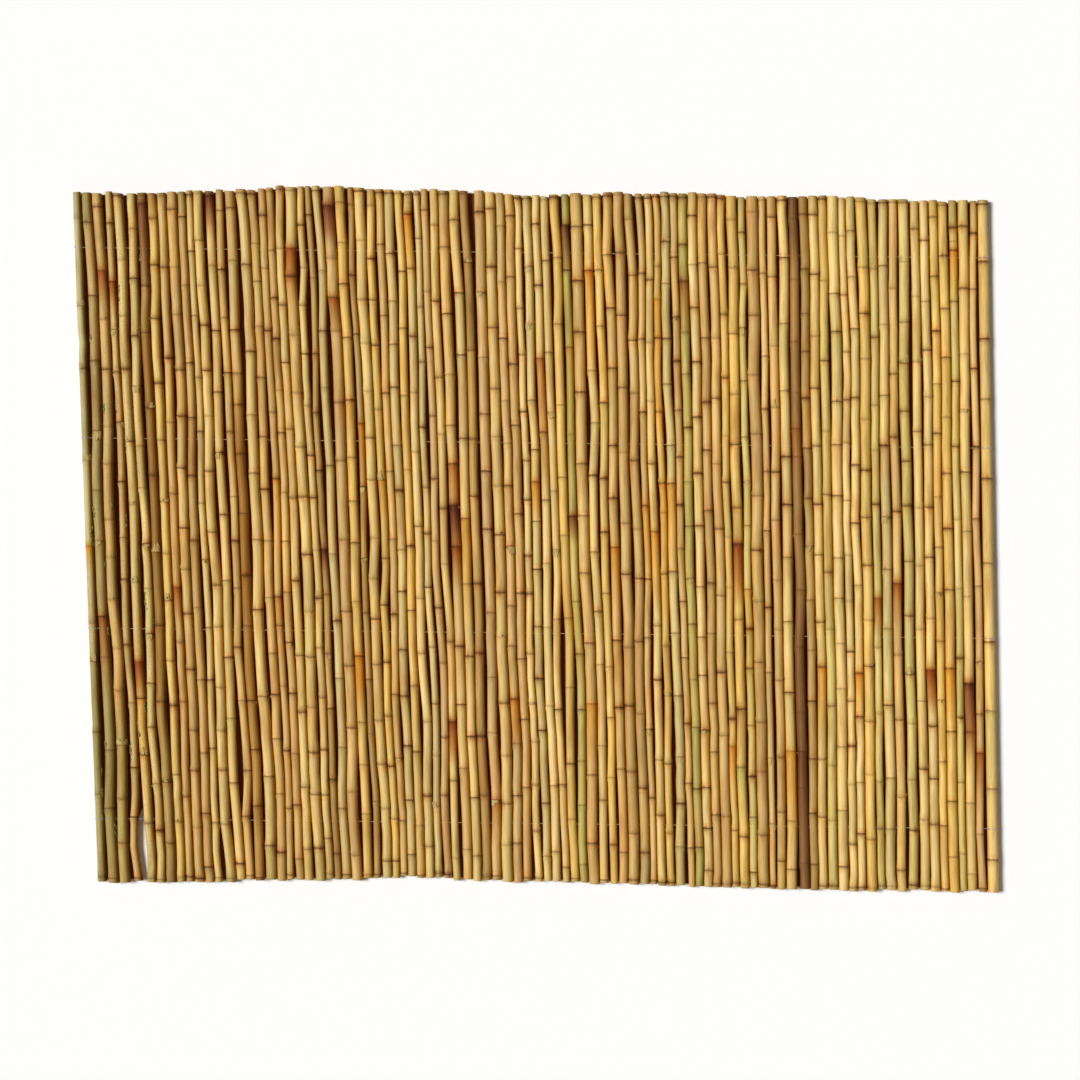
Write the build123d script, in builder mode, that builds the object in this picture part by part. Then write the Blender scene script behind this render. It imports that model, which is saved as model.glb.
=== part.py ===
"""Natural bamboo screening: a row of canes strung on four galvanised wires, unrolled and lying flat.

X runs along the wires, Y along the canes towards their upper ends, and Z is up.
The origin is under the middle of the screen, on the floor. All sizes are in millimetres.
"""

import os
import random
from math import cos, log, radians, sin

from build123d import *

# The canes
cane_count = 92
cane_length = 1829.0
cane_diameter = 23.4  # the middle of the range that is sold as one inch
diameter_spread = 6.0  # how far the thickest and the thinnest cane are off the middle
cane_taper = 2.2  # how much thicker a cane is at its butt than at its tip
cane_wall = 4.2
cane_sides = 12  # the flats face sideways, where the wires go in, and down
dark_cane_number = 73

# How the canes stand beside each other
gap_at_top = 3.2
gap_at_foot = 2.8
least_gap = 0.6
edge_gap = 6.0  # beside the outermost canes, with room for the turn of the wire
left_lean = 88.0  # how far the left edge has slipped to the right at its foot
cut_unevenness = 3.5

# How far the cane ends stand out past the nominal length, at even steps along the screen
top_ends = (-6, -4, 6, 19, 10, 13, -1, 8, 10, 4, 5, -2, -2)
foot_ends = (15, 14, 7, 3, -7, 0, 3, 6, 9, 14, 15, 15, 15)

# The fourth cane bows away from the fifth below the lowest wire and leaves an open slit
bowed_cane_number = 4
slit_at_foot = 12.0
slit_shift = 8.0  # the gap on the other side of the bowed cane, at its foot
bow = ((225.0, 4.5), (95.0, -6.5))  # height above the foot, and how far the cane stands aside

# Every fourth cane bends a little at one of its nodes
bend_every = 4
bend_share = 0.7  # how much of the gap beside it a bent cane takes up
bend_zone = 160.0

# Sawn ends: some cuts go through the hollow, the others through a solid node
hollow_share = 0.42
least_hollow = 35.0
most_hollow = 110.0
hollow_sides = 6

# The wires
wire_diameter = 2.0
wire_sides = 6
wire_clearance = 0.3  # all round, in a cane's hole and over the outermost cane
wire_inset = 152.4  # from the nominal cane ends to the outer wires
wire_names = ("wire_lowest", "wire_lower", "wire_upper", "wire_highest")
wire_bend = 1.4  # the corner where the wire leaves the outermost cane
turn_first_angle = 5.0  # where the turn begins to follow the cane
turn_end_angle = 28.0  # where it stops on the other side, above the straight run
turn_steps = 6

canes_per_node = 8

chance = random.Random(19)


def shuffled_steps(shape):
    """One value for each cane, evenly spread over the curve shape(0..1), in random order."""
    values = [shape((step + 0.5) / cane_count) for step in range(cane_count)]
    chance.shuffle(values)
    return values


def middle_heavy(share):
    """From -1 to 1, with most values near the middle."""
    off = 2 * share - 1
    return off * abs(off) ** 0.5


def mostly_small(share):
    """Many small values and a few large ones, with a mean close to 1."""
    return -log(1 - share)


def gaps_between(mean_gap, shares, foot):
    """The gap to the right of each cane but the last: its mean is mean_gap, wherever it is narrow or wide."""
    fixed = {0: edge_gap, cane_count - 2: edge_gap}
    if foot:
        fixed[bowed_cane_number - 2] = slit_shift
        fixed[bowed_cane_number - 1] = slit_at_foot
    free = [i for i in range(cane_count - 1) if i not in fixed]
    spare = mean_gap * (cane_count - 1) - sum(fixed.values()) - least_gap * len(free)
    total = sum(shares[i] for i in free)
    return [fixed.get(i, least_gap + spare * shares[i] / total) for i in range(cane_count - 1)]


def side_by_side(start, radii, gaps):
    """The middle of each cane, from the left edge at start."""
    places = [start + radii[0]]
    for i, gap in enumerate(gaps):
        places.append(places[-1] + radii[i] + gap + radii[i + 1])
    return places


def wave(heights, share):
    """Smoothly between heights that are given at even steps from 0 to 1."""
    place = share * (len(heights) - 1)
    step = min(int(place), len(heights) - 2)
    ease = (1 - cos(radians(180 * (place - step)))) / 2
    return heights[step] * (1 - ease) + heights[step + 1] * ease


# Diameters, with the butt of each cane up or down
middles = [(cane_diameter + diameter_spread * off) / 2 for off in shuffled_steps(middle_heavy)]
butts = [(-1) ** i * cane_taper / 4 for i in range(cane_count)]
chance.shuffle(butts)
top_radii = [middle + butt for middle, butt in zip(middles, butts)]
foot_radii = [middle - butt for middle, butt in zip(middles, butts)]

# The same gap is wide at both ends or opens towards one of them
shared_gaps, top_gaps, foot_gaps = (shuffled_steps(mostly_small) for part in range(3))
top_shares = [both + own for both, own in zip(shared_gaps, top_gaps)]
foot_shares = [both + own for both, own in zip(shared_gaps, foot_gaps)]
top_x = side_by_side(0.0, top_radii, gaps_between(gap_at_top, top_shares, False))
foot_x = side_by_side(left_lean, foot_radii, gaps_between(gap_at_foot, foot_shares, True))

# Sawn ends
uneven = [chance.uniform(-cut_unevenness, cut_unevenness) for i in range(2 * cane_count)]
top_y = [
    cane_length / 2 + wave(top_ends, i / (cane_count - 1)) + uneven[i] for i in range(cane_count)
]
foot_y = [
    -cane_length / 2 - wave(foot_ends, i / (cane_count - 1)) + uneven[-1 - i]
    for i in range(cane_count)
]


def straight(i, y):
    """The middle and the radius of cane i at y, as if it had no bend."""
    share = y / cane_length + 0.5
    x = foot_x[i] + share * (top_x[i] - foot_x[i])
    radius = foot_radii[i] + share * (top_radii[i] - foot_radii[i])
    return x, radius


def gap_right_of(i, y):
    """The gap between the straight canes i and i + 1 at y."""
    x, radius = straight(i, y)
    next_x, next_radius = straight(i + 1, y)
    return next_x - next_radius - x - radius


def bends(i):
    """Where cane i leaves the straight line between its ends: (y, sideways shift), from the foot up."""
    if i == bowed_cane_number - 1:
        return sorted((foot_y[i] + height, shift) for height, shift in bow)
    if i % bend_every == bend_every // 2 and i < cane_count - 2:
        y = bend_zone * sin(i)
        if (i // bend_every) % 2:
            return [(y, bend_share * (gap_right_of(i, y) - least_gap / 2))]
        return [(y, -bend_share * (gap_right_of(i - 1, y) - least_gap / 2))]
    return []


def cane_at(i, y):
    """The middle and the radius of cane i at y, with its bends."""
    x, radius = straight(i, y)
    knots = [(foot_y[i], 0.0), *bends(i), (top_y[i], 0.0)]
    for (low, low_shift), (high, high_shift) in zip(knots, knots[1:]):
        if low <= y <= high:
            return x + low_shift + (high_shift - low_shift) * (y - low) / (high - low), radius
    return x, radius


# The frame: the middle of the whole outline, with the thickest cane on the floor
last = cane_count - 1
corners = [(0, top_y[0], -1), (0, foot_y[0], -1), (last, top_y[last], 1), (last, foot_y[last], 1)]
sides = [straight(i, y)[0] + side * straight(i, y)[1] for i, y, side in corners]
middle_x = (min(sides) + max(sides)) / 2
middle_y = (min(foot_y) + max(top_y)) / 2
wire_height = max(
    max(straight(i, top_y[i])[1], straight(i, foot_y[i])[1]) for i in range(cane_count)
)
wire_spacing = (cane_length - 2 * wire_inset) / (len(wire_names) - 1)
wire_rows = [wire_inset - cane_length / 2 + wire_spacing * row for row in range(len(wire_names))]
hole_width = wire_diameter + 2 * wire_clearance


def across(y):
    """The plane of a section across the canes, at y from the middle of their nominal length."""
    return Plane.XZ.offset(middle_y - y)


def centre(i, y):
    """The middle of cane i on that plane."""
    return cane_at(i, y)[0] - middle_x, wire_height


def group(members):
    """A few neighbouring canes, each a solid of its own, drilled through for the wires."""
    with BuildPart() as canes:
        for i in members:
            for y in [foot_y[i], *(y for y, shift in bends(i)), top_y[i]]:
                with BuildSketch(across(y)):
                    with Locations(centre(i, y)):
                        RegularPolygon(cane_at(i, y)[1], cane_sides, False, 180 / cane_sides)
            loft(ruled=True)

        for i in members:
            for end, inward in ((foot_y[i], 1), (top_y[i], -1)):
                depth = chance.uniform(least_hollow, most_hollow)
                if chance.random() < hollow_share:
                    for y in (end, end + inward * depth):
                        with BuildSketch(across(y)):
                            with Locations(centre(i, y)):
                                RegularPolygon(cane_at(i, y)[1] - cane_wall, hollow_sides)
                    loft(ruled=True, mode=Mode.SUBTRACT)

        with BuildSketch(Plane.YZ):
            with Locations(*((row - middle_y, wire_height) for row in wire_rows)):
                Rectangle(hole_width, hole_width)
        extrude(amount=top_x[last] - middle_x + left_lean + cane_diameter, both=True, mode=Mode.SUBTRACT)
    return canes


def turn(i, y, side):
    """The turn of a wire over an outermost cane, from the straight run outwards: side is -1 or 1."""
    x, radius = cane_at(i, y)
    step_angle = (180 - turn_end_angle - turn_first_angle) / turn_steps
    cane_corner = radius / cos(radians(180 / cane_sides))
    reach = (cane_corner + wire_clearance + wire_diameter / 2) / cos(radians(step_angle / 2))
    points = [(side * (reach - wire_bend), 0.0), (side * reach, wire_bend)]
    for step in range(1, turn_steps + 1):
        angle = radians(turn_first_angle + step_angle * step)
        points.append((side * reach * cos(angle), reach * sin(angle)))
    return [(x - middle_x + aside, y - middle_y, wire_height + up) for aside, up in points]


def strung_wire(y):
    """One wire, straight through all the canes and turned back over the outermost at both sides."""
    route = turn(0, y, -1)[::-1] + turn(last, y, 1)
    with BuildPart() as wire:
        with BuildLine() as path:
            Polyline(*route)
        start = Plane(origin=path.line @ 0, x_dir=(0, 1, 0), z_dir=path.line % 0)
        with BuildSketch(start):
            RegularPolygon(wire_diameter / 2, wire_sides, major_radius=False)
        sweep(transition=Transition.RIGHT)
    return wire


os.makedirs("parts", exist_ok=True)

dark_index = dark_cane_number - 1
for first in range(0, cane_count, canes_per_node):
    members = [i for i in range(first, min(first + canes_per_node, cane_count)) if i != dark_index]
    canes = group(members)
    name = f"canes_{members[0] + 1:02d}_to_{members[-1] + 1:02d}"
    canes.part.label = name
    export_step(canes.part, f"parts/{name}.step")

dark_cane = group([dark_index])
dark_cane.part.label = "dark_cane"
export_step(dark_cane.part, "parts/dark_cane.step")

for name, row in zip(wire_names, wire_rows):
    wire = strung_wire(row)
    wire.part.label = name
    export_step(wire.part, f"parts/{name}.step")
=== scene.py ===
# Natural bamboo screening, unrolled and lying flat: canes strung side by side on four galvanised wires.
# X runs along the wires, Y along the canes and Z is up. Everything is in metres; mm turns a size in
# millimetres into metres.
import math
import random

import bmesh
import bpy
import numpy as np
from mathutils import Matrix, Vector


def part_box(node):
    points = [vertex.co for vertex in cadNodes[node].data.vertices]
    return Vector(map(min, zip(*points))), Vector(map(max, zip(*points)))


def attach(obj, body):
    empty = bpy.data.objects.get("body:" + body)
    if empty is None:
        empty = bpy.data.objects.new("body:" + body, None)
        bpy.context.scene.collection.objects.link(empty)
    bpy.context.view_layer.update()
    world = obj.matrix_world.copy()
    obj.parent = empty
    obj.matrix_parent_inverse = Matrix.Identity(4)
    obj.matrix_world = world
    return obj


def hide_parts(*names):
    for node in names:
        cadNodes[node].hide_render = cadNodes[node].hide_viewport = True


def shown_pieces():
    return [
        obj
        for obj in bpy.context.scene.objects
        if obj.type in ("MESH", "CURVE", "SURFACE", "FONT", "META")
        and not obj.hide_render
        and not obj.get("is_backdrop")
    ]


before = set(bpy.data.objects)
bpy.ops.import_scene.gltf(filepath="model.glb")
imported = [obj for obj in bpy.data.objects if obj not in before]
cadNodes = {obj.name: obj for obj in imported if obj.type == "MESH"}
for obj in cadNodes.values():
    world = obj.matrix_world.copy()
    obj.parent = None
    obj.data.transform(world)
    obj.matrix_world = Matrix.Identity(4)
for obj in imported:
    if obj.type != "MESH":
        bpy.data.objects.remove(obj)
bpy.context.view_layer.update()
scene = bpy.context.scene
mm = 0.001
fullTurn = 2 * math.pi


# Small helpers


def linearColour(code):
    channels = [int(code[i:i + 2], 16) / 255 for i in (1, 3, 5)]
    return [c / 12.92 if c <= 0.04045 else ((c + 0.055) / 1.055) ** 2.4 for c in channels] + [1.0]


# Adds one node. Its inputs stand in a row from the first on, or in a dictionary by name or number. Each
# is the node or the socket that it comes from, a colour as sRGB hex, or a fixed value
def addNode(tree, kind, inputs=(), **settings):
    node = tree.nodes.new("ShaderNode" + kind)
    for name, value in settings.items():
        setattr(node, name, value)
    for place, value in inputs.items() if isinstance(inputs, dict) else enumerate(inputs):
        if isinstance(value, bpy.types.Node):
            # A mix of colours gives them at its third output, and every other node at its first
            value = value.outputs[2 if value.bl_idname == "ShaderNodeMix" else 0]
        if isinstance(value, bpy.types.NodeSocket):
            tree.links.new(value, node.inputs[place])
        else:
            node.inputs[place].default_value = linearColour(value) if isinstance(value, str) else value
    return node


# Settings that many nodes share. The row of a range is its value, where that starts and ends, and what
# it becomes there. A mix has its share at 0, and its colours at 6 and 7
product = {"operation": "MULTIPLY"}
eased = {"interpolation_type": "SMOOTHSTEP"}
covering = {"data_type": "RGBA"}
tinting = {"data_type": "RGBA", "blend_type": "MULTIPLY"}


def newMaterial(name):
    material = bpy.data.materials.new(name)
    material.use_nodes = True
    material.node_tree.nodes.clear()
    return material, material.node_tree


# Ends a material: the height of its relief, how deep and how strong that is, and its shader's inputs
def endMaterial(tree, height, depth, strength, inputs):
    relief = addNode(tree, "Bump", {"Strength": strength, "Distance": depth, "Height": height})
    shader = addNode(tree, "BsdfPrincipled", {**inputs, "Normal": relief})
    addNode(tree, "OutputMaterial", {"Surface": shader})


def meshPiece(name, points, faces, materials, faceMaterials=None):
    mesh = bpy.data.meshes.new(name)
    mesh.from_pydata(points, [], faces)
    for material in materials:
        mesh.materials.append(material)
    if faceMaterials is not None:
        mesh.polygons.foreach_set("material_index", faceMaterials)
    mesh.polygons.foreach_set("use_smooth", [True] * len(faces))
    piece = bpy.data.objects.new(name, mesh)
    scene.collection.objects.link(piece)
    return piece


# The faces of a closed tube, facing outwards. Its rows of points begin at the one numbered start, and
# turned is for rows that go round it the other way
def tubeFaces(start, rows, sides, turned=False):
    faces = []
    for low in range(start, start + (rows - 1) * sides, sides):
        high = low + sides
        for side in range(sides):
            beside = (side + 1) % sides
            faces.append((low + side, low + beside, high + beside, high + side))
    faces.append(tuple(range(start, start + sides))[::-1])
    faces.append(tuple(range(start + (rows - 1) * sides, start + rows * sides)))
    return [face[:1] + face[:0:-1] for face in faces] if turned else faces


# Evenly spaced directions round a tube
def spokes(sideways, upright, sides):
    turns = [fullTurn * side / sides for side in range(sides)]
    return [math.cos(turn) * sideways + math.sin(turn) * upright for turn in turns]


def smooth(share):
    share = np.clip(share, 0.0, 1.0)
    return share * share * (3 - 2 * share)


# The canes as the frame has them

# Every loose solid in a node is one cane. A level with a whole section gives its line and thickness, and
# one with only the hollow's corners says how deep it is open
caneReading = {
    "sectionCorners": 12,
    "hollowCorners": 6,
    "sameLevel": 0.05 * mm,
    "sameCorner": 0.01 * mm,
}


def looseSolids(nodeName):
    solid = bmesh.new()
    solid.from_mesh(cadNodes[nodeName].data)
    bmesh.ops.remove_doubles(solid, verts=solid.verts, dist=caneReading["sameCorner"])
    waiting = set(solid.verts)
    found = []
    while waiting:
        loose = [waiting.pop()]
        for corner in loose:  # the list grows while the solid's edges are followed
            for edge in corner.link_edges:
                other = edge.other_vert(corner)
                if other in waiting:
                    waiting.remove(other)
                    loose.append(other)
        found.append([corner.co.copy() for corner in loose])
    solid.free()
    return found


def readCane(nodeName, corners):
    levels = []
    for corner in sorted(corners, key=lambda point: point.y):
        if levels and corner.y - levels[-1][-1].y < caneReading["sameLevel"]:
            levels[-1].append(corner)
        else:
            levels.append([corner])
    sections = [level for level in levels if len(level) >= caneReading["sectionCorners"]]
    cane = {"node": nodeName, "y": [], "x": [], "radius": [], "hollow": [0.0, 0.0]}
    for level in sections:
        left = min(corner.x for corner in level)
        right = max(corner.x for corner in level)
        cane["y"].append(level[0].y)
        cane["x"].append((left + right) / 2)
        cane["radius"].append((right - left) / 2)
    for level in levels:
        if len(level) == caneReading["hollowCorners"]:
            fromEnds = [level[0].y - cane["y"][0], cane["y"][-1] - level[0].y]
            nearEnd = 0 if fromEnds[0] < fromEnds[1] else 1
            cane["hollow"][nearEnd] = fromEnds[nearEnd]
    heights = [corner.z for corner in sections[0]]
    cane["height"] = (min(heights) + max(heights)) / 2
    return cane


canes = []
for nodeName in sorted(cadNodes):
    if "cane" in nodeName:
        canes += [readCane(nodeName, corners) for corners in looseSolids(nodeName)]
canes.sort(key=lambda cane: cane["x"][0])
for number, cane in enumerate(canes, 1):
    cane["number"] = number
    cane["outermost"] = number in (1, len(canes))
wireNames = ["wire_lowest", "wire_lower", "wire_upper", "wire_highest"]
wireRows = [sum(corner.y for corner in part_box(name)) / 2 for name in wireNames]
wireHeight = canes[0]["height"]
print("read", len(canes), "canes and", len(wireRows), "wires from the frame")


# Growth: where each cane's rings are, how it wanders and what colours it has

growth = {
    "seed": 7,
    "ringSpacing": (128 * mm, 196 * mm),
    "spacingUnevenness": 0.24,
    "leastRingSpacing": 72 * mm,
    "solidEndRing": (7 * mm, 13 * mm),  # a cut through a solid node leaves its ring this near the end
    "faintestRing": 0.25,
    # How much a cane is under its solid's radius and how freely it wanders: left, middle and right
    "narrower": (0.4 * mm, 0.2 * mm, -0.15 * mm),
    "wandering": (1.1, 0.95, 0.55),
    "outermostNarrower": 0.3 * mm,
    "outermostWandering": 0.5,
    "kink": 7.5 * mm,  # how far a cane may stand aside at a ring
    "heightKink": 1.1 * mm,
    "waves": 4,  # long bends that neighbouring canes share
    "waveHeight": 2.0 * mm,
    "waveAcross": (190 * mm, 420 * mm),
    "waveAlong": (700 * mm, 1500 * mm),
    "levels": 180,  # the places along the canes where they are kept apart
    "pushes": 160,
    "swellReach": 20 * mm,
    "leastGap": 0.8 * mm,
    "leastRise": 0.1 * mm,  # off the floor
    "knobbly": (0.7, 2.1, 0.9),  # how far the rings of a cane swell: least, most and usual
    "swellSpread": (0.75, 1.25),
    "ovalness": 0.025,
}

# Sun-dried bamboo tones, from the palest straw to the stained stretches
caneTones = {
    "paleStraw": "#EBCB88",
    "straw": "#E2C17B",
    "goldenStraw": "#E5BD68",
    "greyStraw": "#D3BA7D",
    "greenStraw": "#D0BB72",
    # partly painted shade, for the second cane
    "dimStraw": "#B0965C",
    "shadedStraw": "#BBAC7C",
    "tan": "#D6AC6A",
    "pinkTan": "#D1A971",
    "warmTan": "#C79E60",
    "brownTan": "#AA8246",
    "olive": "#B2A859",
    "dullOlive": "#85783A",
    "amber": "#CF8626",
    "rust": "#8F4810",
    "chestnut": "#58240A",
    # partly painted shade, for the long stretches of two canes that lie lower
    "umber": "#835418",
    "deepBrown": "#6A3D1A",
    "darkBrown": "#825B33",
}

# Which tones a stretch of the screen is mixed from, up to that cane
toneMixes = [
    (8, ("greenStraw", "greyStraw", "straw", "tan", "greyStraw")),
    (30, ("straw", "tan", "greyStraw", "goldenStraw", "straw", "tan", "brownTan", "straw")),
    (52, ("straw", "paleStraw", "goldenStraw", "straw", "greyStraw", "tan", "straw", "pinkTan")),
    (72, ("paleStraw", "straw", "greenStraw", "straw", "goldenStraw", "tan", "straw", "greyStraw")),
    (92, ("paleStraw", "goldenStraw", "straw", "greenStraw", "paleStraw", "goldenStraw", "straw")),
]

# Canes that stand out along their whole length: millimetres from the middle, at mid-length
standingOut = {
    "shadedStraw": (-1193,),
    # The second cane's dim tone is partly painted shade
    "dimStraw": (-1161,),
    "tan": (-1133, -1100, -962, -799, -783, -206, 295, 489, 652, 968),
    "straw": (-1071, -1042, 1227),
    "brownTan": (-1014, -155, 730),
    "goldenStraw": (-987, -481, 331, 885, 1110),
    "warmTan": (-910, 243, 271, 463, 603),
    "pinkTan": (-510, -70, 1181),
    "paleStraw": (-310,),
    "olive": (107, 420),
    "greenStraw": (553, 783),
    "darkBrown": (706,),
    "greyStraw": (938,),
}

# Stained stretches: across and along to the ring where the stain starts, in millimetres from the middle,
# how far it fades down the cane, its tone and its strength
stains = [
    # The first two are partly painted shade: canes lying lower, in the shade of their neighbours
    (-1045, 660, 1500, "umber", 0.6), (-802, 430, 1900, "umber", 0.7),
    (-1183, -240, 1100, "dullOlive", 0.6), (-1140, -330, 1200, "dullOlive", 0.45),
    (-1115, -420, 1100, "dullOlive", 0.4), (-1165, 700, 90, "rust", 0.75), (-1131, 672, 80, "rust", 0.7),
    (-1197, -35, 45, "amber", 0.8), (-1163, -222, 165, "rust", 0.6), (-1056, 880, 200, "chestnut", 0.35),
    (-1040, -342, 100, "rust", 0.9), (-1038, -440, 260, "amber", 0.35), (-946, -142, 80, "rust", 0.7),
    (-877, 905, 100, "chestnut", 0.6), (-674, 765, 125, "rust", 0.75), (-690, 150, 190, "amber", 0.45),
    (-683, -165, 210, "rust", 0.35), (-567, -36, 70, "chestnut", 0.75), (-552, 905, 105, "chestnut", 0.6),
    (-556, 635, 100, "rust", 0.6), (-480, 300, 210, "amber", 0.75), (-478, -270, 170, "amber", 0.8),
    (-455, -320, 130, "amber", 0.6), (-362, 860, 180, "amber", 0.8), (-409, 150, 110, "amber", 0.4),
    (-224, 196, 120, "rust", 0.5), (-219, 85, 125, "chestnut", 0.95), (-213, -25, 95, "rust", 0.8),
    (-190, 50, 300, "amber", 0.45), (-222, -493, 120, "rust", 0.85), (-40, -430, 120, "amber", 0.6),
    (-5, 480, 380, "rust", 0.45), (0, 150, 110, "amber", 0.65), (62, 900, 140, "chestnut", 0.55),
    (92, 510, 330, "amber", 0.4), (105, 60, 60, "chestnut", 0.45), (146, 715, 300, "amber", 0.6),
    (155, -440, 165, "amber", 0.6), (207, -22, 150, "amber", 0.75), (286, 90, 300, "amber", 0.4),
    (308, 20, 215, "amber", 0.6), (327, 640, 540, "amber", 0.5), (331, 150, 420, "amber", 0.45),
    (363, 150, 245, "amber", 0.55), (383, 690, 150, "rust", 0.45), (420, 155, 380, "olive", 0.6),
    (529, -10, 150, "rust", 0.85), (530, -550, 120, "amber", 0.55), (555, -450, 150, "brownTan", 0.7),
    (556, -605, 160, "olive", 0.7), (580, -130, 400, "amber", 0.3), (679, -560, 270, "amber", 0.45),
    (681, 880, 1700, "brownTan", 0.95), (709, -130, 760, "deepBrown", 0.45),
    (716, -560, 220, "chestnut", 0.4), (754, -335, 190, "amber", 0.6), (800, 560, 200, "olive", 0.35),
    (858, -350, 120, "amber", 0.65), (911, -150, 100, "rust", 0.6), (967, -110, 90, "rust", 0.65),
    (1050, -340, 120, "rust", 0.9), (1095, 780, 130, "amber", 0.7), (1101, -335, 165, "amber", 0.6),
    (1150, -375, 220, "chestnut", 0.6), (1206, -560, 110, "rust", 0.55), (690, 300, 150, "rust", 0.35),
    (-105, -700, 90, "rust", 0.4),
]


def caneNearest(across, along):
    places = [np.interp(along, cane["y"], cane["x"]) for cane in canes]
    return canes[int(np.argmin([abs(place - across) for place in places]))]


for cane in canes:
    chance = random.Random(growth["seed"] * 1000 + cane["number"])
    cane["chance"] = chance
    mix = next(tones for upTo, tones in toneMixes if cane["number"] <= upTo)
    cane["tone"] = chance.choice(mix)
    cane["mix"] = mix
    cane["upwards"] = chance.choice((-1, 1))  # some canes are strung with their tips down
    cane["stains"] = []
for tone, places in standingOut.items():
    for across in places:
        caneNearest(across * mm, 0.0)["tone"] = tone
for across, along, fade, tone, strength in stains:
    caneNearest(across * mm, along * mm)["stains"].append((along * mm, fade * mm, tone, strength))
for cane in canes:
    if cane["node"] == "dark_cane":
        cane["tone"] = "darkBrown"
        cane["mix"] = ("darkBrown", "deepBrown", "darkBrown")


def ringPlaces(cane):
    chance = cane["chance"]
    ends = [hollow or chance.uniform(*growth["solidEndRing"]) for hollow in cane["hollow"]]
    first = cane["y"][0] + ends[0]
    final = cane["y"][-1] - ends[1]
    count = round((final - first) / chance.uniform(*growth["ringSpacing"]))
    uneven = growth["spacingUnevenness"]
    steps = [1 + chance.uniform(-uneven, uneven) for step in range(count)]
    places = [first + (final - first) * sum(steps[:step]) / sum(steps) for step in range(count + 1)]
    # A stain starts at a ring, so a ring stands there in place of those close to it
    least = growth["leastRingSpacing"]
    for stain in cane["stains"]:
        inner = [place for place in places[1:-1] if abs(place - stain[0]) > least]
        places = sorted([first, *inner, stain[0], final])
    return places


for cane in canes:
    across = (1, len(canes) / 2, len(canes))
    for quality in ("narrower", "wandering"):
        cane[quality] = np.interp(cane["number"], across, growth[quality])
    if cane["outermost"]:
        cane["narrower"] = growth["outermostNarrower"]
    cane["rings"] = ringPlaces(cane)
    chance = cane["chance"]
    faintest = growth["faintestRing"]
    cane["ringStrengths"] = [faintest + (1 - faintest) * chance.random() ** 1.2 for ring in cane["rings"]]
    knobbly = 1.0 if cane["outermost"] else chance.triangular(*growth["knobbly"])
    cane["swells"] = [knobbly * chance.uniform(*growth["swellSpread"]) for ring in cane["rings"]]
    if cane["node"] == "dark_cane":
        cane["ringStrengths"] = [strength / 2 for strength in cane["ringStrengths"]]

# How the canes wander: each may stand aside at its rings and is straight between them, and canes that
# would touch push each other apart. The outermost two keep their places where the wires turn
lowest = min(cane["y"][0] for cane in canes)
highest = max(cane["y"][-1] for cane in canes)
alongLevels = np.linspace(lowest, highest, growth["levels"])
straightX = np.array([np.interp(alongLevels, cane["y"], cane["x"]) for cane in canes])
halfWidths = np.array([np.interp(alongLevels, cane["y"], cane["radius"]) for cane in canes])
halfWidths -= np.array([[cane["narrower"]] for cane in canes])
asides = np.zeros_like(straightX)
lifts = np.zeros_like(straightX)
for index, cane in enumerate(canes):
    for ring, swell in zip(cane["rings"], cane["swells"]):
        nearness = 1 - np.abs(alongLevels - ring) / growth["swellReach"]
        halfWidths[index] += swell * mm * np.clip(nearness, 0, 1)
    chance = cane["chance"]
    kinks = [chance.triangular(-1, 1) * growth["kink"] * cane["wandering"] for ring in cane["rings"]]
    rises = [chance.triangular(-1, 1) * growth["heightKink"] for ring in cane["rings"]]
    asides[index] = np.interp(alongLevels, cane["rings"], kinks)
    lifts[index] = np.interp(alongLevels, cane["rings"], rises)
chance = random.Random(growth["seed"])
waveHeights = growth["waveHeight"] * np.array([[cane["wandering"]] for cane in canes])
for wave in range(growth["waves"]):
    acrossStart, alongStart = chance.uniform(0, fullTurn), chance.uniform(0, fullTurn)
    acrossStep = fullTurn / chance.uniform(*growth["waveAcross"])
    alongStep = fullTurn / chance.uniform(*growth["waveAlong"])
    shared = np.sin(straightX * acrossStep + acrossStart) * np.sin(alongLevels * alongStep + alongStart)
    asides += waveHeights * shared
rowSpacing = wireRows[1] - wireRows[0]
freeBetweenWires = np.sin(math.pi * (alongLevels - wireRows[0]) / rowSpacing) ** 2
for index in (0, -1):
    asides[index] *= freeBetweenWires * growth["outermostWandering"]
    lifts[index] *= 0.0
stiffness = np.array([1, 2, 3, 4, 3, 2, 1]) / 16
for step in range(growth["pushes"]):
    places = straightX + asides
    gaps = places[1:] - places[:-1] - halfWidths[1:] - halfWidths[:-1] - growth["leastGap"]
    push = np.array([np.convolve(row, stiffness, "same") for row in np.maximum(-gaps, 0) / 2])
    asides[:-1] -= push
    asides[1:] += push
    asides[0] *= freeBetweenWires
    asides[-1] *= freeBetweenWires
lifts = np.maximum(lifts, halfWidths + growth["leastRise"] - wireHeight)
for cane, aside, lift in zip(canes, asides, lifts):
    cane["aside"] = aside
    cane["lift"] = lift


def caneLine(cane, along):
    across = np.interp(along, cane["y"], cane["x"]) + np.interp(along, alongLevels, cane["aside"])
    height = wireHeight + np.interp(along, alongLevels, cane["lift"])
    radius = np.interp(along, cane["y"], cane["radius"]) - cane["narrower"]
    return across, height, radius


# Materials

# What the canes' material reads at every point of them, after the tone
pointMarks = ("caneSpace", "fromRing", "ringStrength", "weathered", "inGap")

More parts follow.
